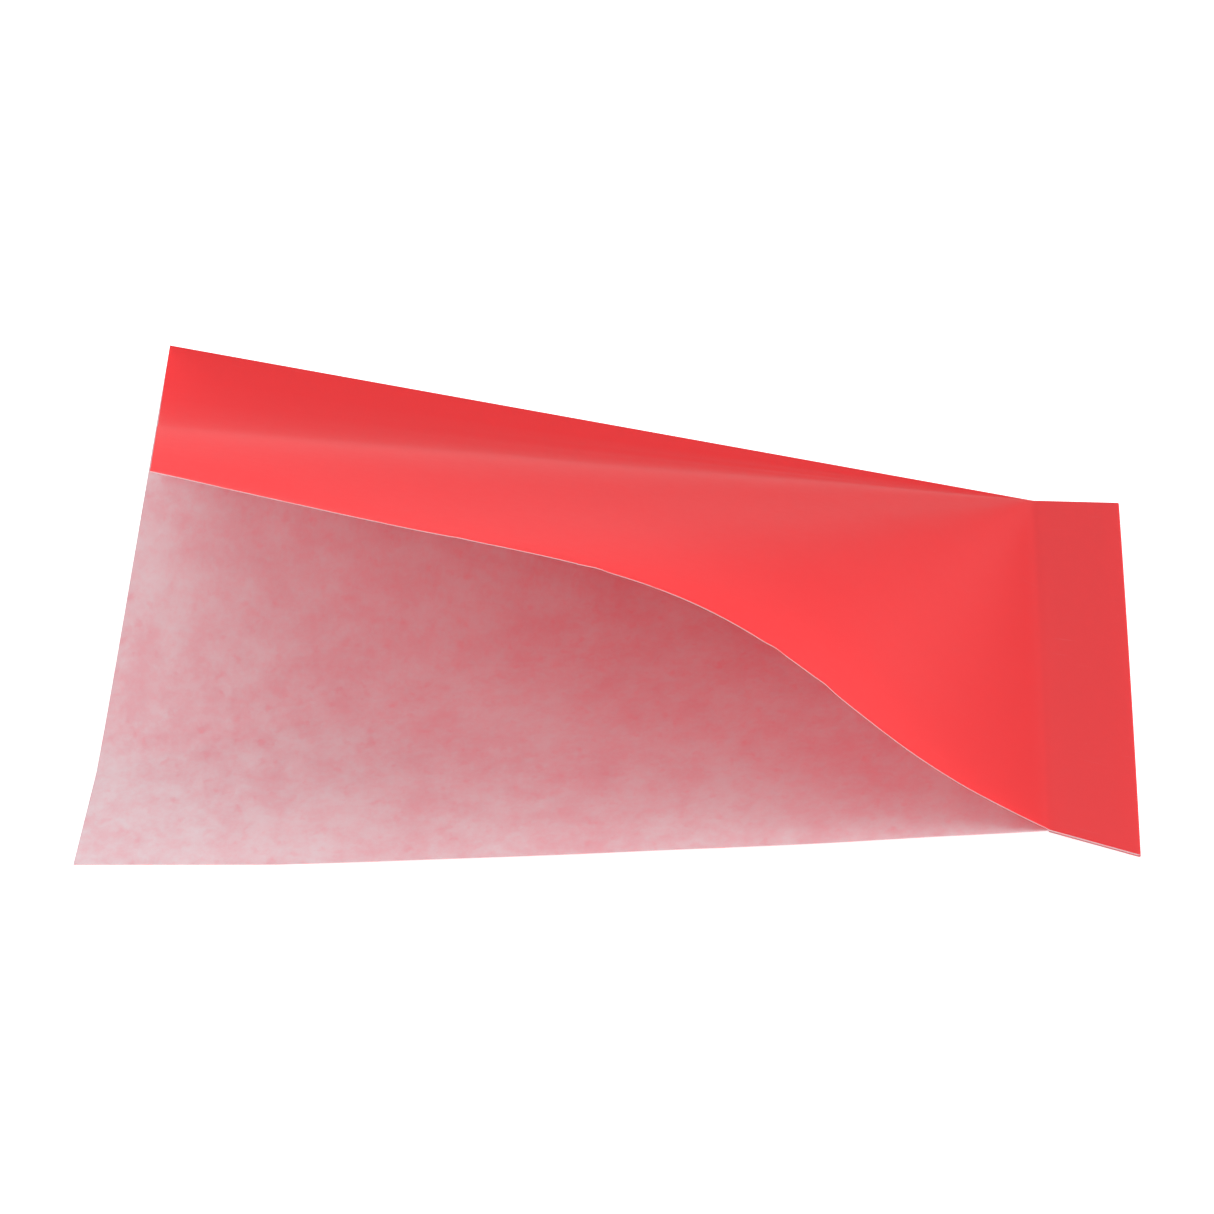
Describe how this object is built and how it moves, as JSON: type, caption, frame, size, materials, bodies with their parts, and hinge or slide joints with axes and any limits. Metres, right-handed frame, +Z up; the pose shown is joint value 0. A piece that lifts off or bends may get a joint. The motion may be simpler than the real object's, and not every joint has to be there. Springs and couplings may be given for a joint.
{
  "type": "paper bag open on two sides",
  "caption": "Thin paper snack bag lying on a table, folded along one side, glued at one end, with its mouth and front edge lifted open.",
  "frame": {"origin": "centre of the footprint, on the table that the bag lies on", "axes": "+X from the mouth to the glued end seam, +Y from the open front edge to the side fold, +Z up"},
  "size_m": [0.1798, 0.1514, 0.0718],
  "materials": {
    "printed_paper": "satin",
    "inner_paper": "matte",
    "dried_glue": "matte"
  },
  "bodies": {
    "seam_and_back": {"back_leaf": "inner_paper", "front_leaf_1": "printed_paper", "side_fold": "printed_paper", "seam_front_layer": "printed_paper", "seam_back_layer": "printed_paper", "seam_glue": "dried_glue", "seam_flap": "printed_paper", "seam_fold": "printed_paper"},
    "front_2": {"front_leaf_2": "printed_paper"},
    "front_3": {"front_leaf_3": "printed_paper"},
    "front_4": {"front_leaf_4": "printed_paper"},
    "front_5": {"front_leaf_5": "printed_paper"},
    "front_6": {"front_leaf_6": "printed_paper"},
    "front_7": {"front_leaf_7": "printed_paper"},
    "front_mouth": {"front_leaf_mouth": "printed_paper"}
  },
  "joints": [
    {"name": "front_2_follow", "type": "hinge", "parent": "seam_and_back", "child": "front_2", "pos_m": [0.07395, 0.07522, 0.00166], "axis": [-0.9766, -0.0405, 0.2113], "range_deg": [-1.83, 1.83]},
    {"name": "front_3_follow", "type": "hinge", "parent": "seam_and_back", "child": "front_3", "pos_m": [0.07395, 0.07522, 0.00166], "axis": [-0.9766, -0.0405, 0.2113], "range_deg": [-4.29, 4.29]},
    {"name": "front_4_follow", "type": "hinge", "parent": "seam_and_back", "child": "front_4", "pos_m": [0.07395, 0.07522, 0.00166], "axis": [-0.9766, -0.0405, 0.2113], "range_deg": [-7.47, 7.47]},
    {"name": "front_5_follow", "type": "hinge", "parent": "seam_and_back", "child": "front_5", "pos_m": [0.07395, 0.07522, 0.00166], "axis": [-0.9766, -0.0405, 0.2113], "range_deg": [-10.96, 10.96]},
    {"name": "front_6_follow", "type": "hinge", "parent": "seam_and_back", "child": "front_6", "pos_m": [0.07395, 0.07522, 0.00166], "axis": [-0.9766, -0.0405, 0.2113], "range_deg": [-14.36, 14.36]},
    {"name": "front_7_follow", "type": "hinge", "parent": "seam_and_back", "child": "front_7", "pos_m": [0.07395, 0.07522, 0.00166], "axis": [-0.9766, -0.0405, 0.2113], "range_deg": [-17.26, 17.26]},
    {"name": "mouth_open", "type": "hinge", "parent": "seam_and_back", "child": "front_mouth", "pos_m": [0.07395, 0.07522, 0.00166], "axis": [-0.9766, -0.0405, 0.2113], "range_deg": [-20, 20]}
  ],
  "couplings": [
    {"joint": "front_2_follow", "follows": "mouth_open", "ratio": 0.0914},
    {"joint": "front_3_follow", "follows": "mouth_open", "ratio": 0.2145},
    {"joint": "front_4_follow", "follows": "mouth_open", "ratio": 0.3733},
    {"joint": "front_5_follow", "follows": "mouth_open", "ratio": 0.548},
    {"joint": "front_6_follow", "follows": "mouth_open", "ratio": 0.7178},
    {"joint": "front_7_follow", "follows": "mouth_open", "ratio": 0.8626}
  ]
}
